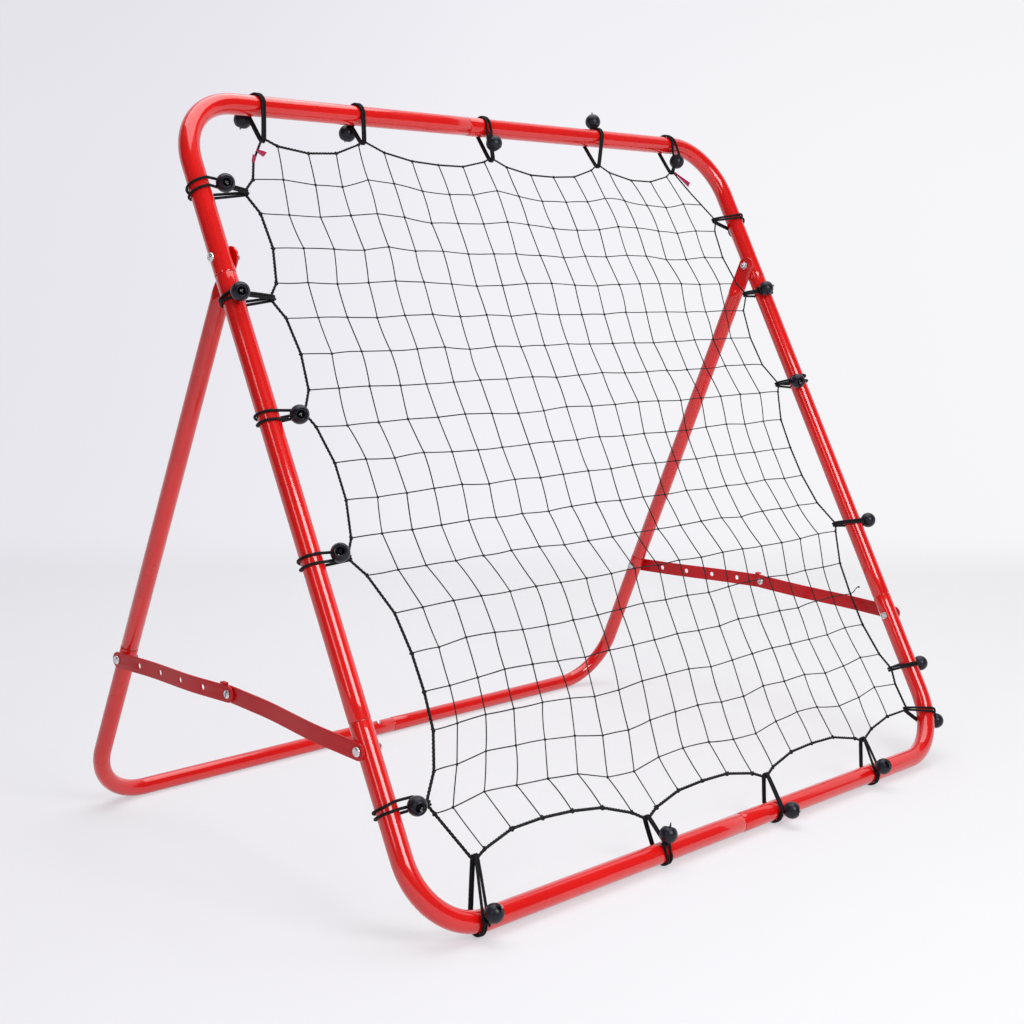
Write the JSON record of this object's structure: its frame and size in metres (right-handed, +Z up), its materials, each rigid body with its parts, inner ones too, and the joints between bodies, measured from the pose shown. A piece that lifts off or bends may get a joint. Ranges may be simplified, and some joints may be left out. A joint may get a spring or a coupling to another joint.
{
  "type": "soccer rebound net",
  "caption": "Leaning steel-tube frame with a bungee-hung knotted net, propped by a folding rear frame with riveted flat-bar struts, for returning kicked balls.",
  "frame": {"origin": "middle of the footprint of the whole object's bounding box, on the floor", "axes": "+Z up; the ball comes from -Y and the net leans back to +Y as it rises; X runs along the top and bottom bars"},
  "size_m": [1.063, 0.7096, 0.9245],
  "materials": {
    "red_tube": "glossy red powder coat on steel tube",
    "red_bar": "semi-gloss red powder coat on flat bar",
    "zinc": "bright zinc plating",
    "net_twine": "black braided twine",
    "bungee_cord": "black braided elastic cord with a moulded plastic ball"
  },
  "bodies": {
    "front_frame": {"front_top_left_tube": "red_tube", "front_top_right_tube": "red_tube", "front_left_side_tube": "red_tube", "front_right_side_tube": "red_tube", "front_foot_left_tube": "red_tube", "front_foot_right_tube": "red_tube", "net": "net_twine", "pivot_bolt_left": "zinc", "pivot_bolt_right": "zinc", "pivot_nut_left": "zinc", "pivot_nut_right": "zinc", "strut_front_bolt_left": "zinc", "strut_front_bolt_right": "zinc", "strut_front_nut_left": "zinc", "strut_front_nut_right": "zinc", "bungee_top_1": "bungee_cord", "bungee_top_2": "bungee_cord", "bungee_top_3": "bungee_cord", "bungee_top_4": "bungee_cord", "bungee_top_5": "bungee_cord", "bungee_left_1": "bungee_cord", "bungee_left_2": "bungee_cord", "bungee_left_3": "bungee_cord", "bungee_left_4": "bungee_cord", "bungee_left_5": "bungee_cord", "bungee_right_1": "bungee_cord", "bungee_right_2": "bungee_cord", "bungee_right_3": "bungee_cord", "bungee_right_4": "bungee_cord", "bungee_right_5": "bungee_cord", "bungee_right_6": "bungee_cord", "bungee_foot_1": "bungee_cord", "bungee_foot_2": "bungee_cord", "bungee_foot_3": "bungee_cord", "bungee_foot_4": "bungee_cord"},
    "rear_frame": {"rear_left_leg": "red_tube", "rear_right_leg": "red_tube", "rear_left_corner_tube": "red_tube", "rear_right_corner_tube": "red_tube", "strut_rear_bolt_left": "zinc", "strut_rear_bolt_right": "zinc", "strut_rear_nut_left": "zinc", "strut_rear_nut_right": "zinc"},
    "front_strut_left": {"front_strut_left": "red_bar", "strut_rivet_tail_left": "zinc"},
    "front_strut_right": {"front_strut_right": "red_bar", "strut_rivet_tail_right": "zinc"},
    "rear_strut_left": {"rear_strut_left": "red_bar", "strut_rivet_head_left": "zinc"},
    "rear_strut_right": {"rear_strut_right": "red_bar", "strut_rivet_head_right": "zinc"},
    "snap_button": {"rear_snap_button": "zinc"}
  },
  "joints": [
    {"name": "rear_frame_fold", "type": "hinge", "parent": "front_frame", "child": "rear_frame", "pos_m": [-0.0085, 0.03338, 0.7102], "axis": [-1, 0, 0], "range_deg": [0, 18]},
    {"name": "front_strut_left_pivot", "type": "hinge", "parent": "front_frame", "child": "front_strut_left", "pos_m": [-0.5271, -0.22653, 0.2001], "axis": [1, 0, 0], "range_deg": [0, 40.2]},
    {"name": "front_strut_right_pivot", "type": "hinge", "parent": "front_frame", "child": "front_strut_right", "pos_m": [0.5101, -0.22653, 0.2001], "axis": [1, 0, 0], "range_deg": [0, 40.2]},
    {"name": "rear_strut_left_pivot", "type": "hinge", "parent": "rear_frame", "child": "rear_strut_left", "pos_m": [-0.5121, 0.25382, 0.21396], "axis": [-1, 0, 0], "range_deg": [0, 34.52]},
    {"name": "rear_strut_right_pivot", "type": "hinge", "parent": "rear_frame", "child": "rear_strut_right", "pos_m": [0.4951, 0.25382, 0.21396], "axis": [-1, 0, 0], "range_deg": [0, 34.52]},
    {"name": "snap_button_press", "type": "slide", "parent": "rear_frame", "child": "snap_button", "axis": [0, 0.406, -0.9139], "range_m": [0, 0.0025], "stiffness_N_per_m": 600}
  ],
  "couplings": [
    {"joint": "front_strut_left_pivot", "follows": "rear_frame_fold", "ratio": 2.2322},
    {"joint": "front_strut_right_pivot", "follows": "rear_frame_fold", "ratio": 2.2322},
    {"joint": "rear_strut_left_pivot", "follows": "rear_frame_fold", "ratio": 1.9165},
    {"joint": "rear_strut_right_pivot", "follows": "rear_frame_fold", "ratio": 1.9165}
  ]
}
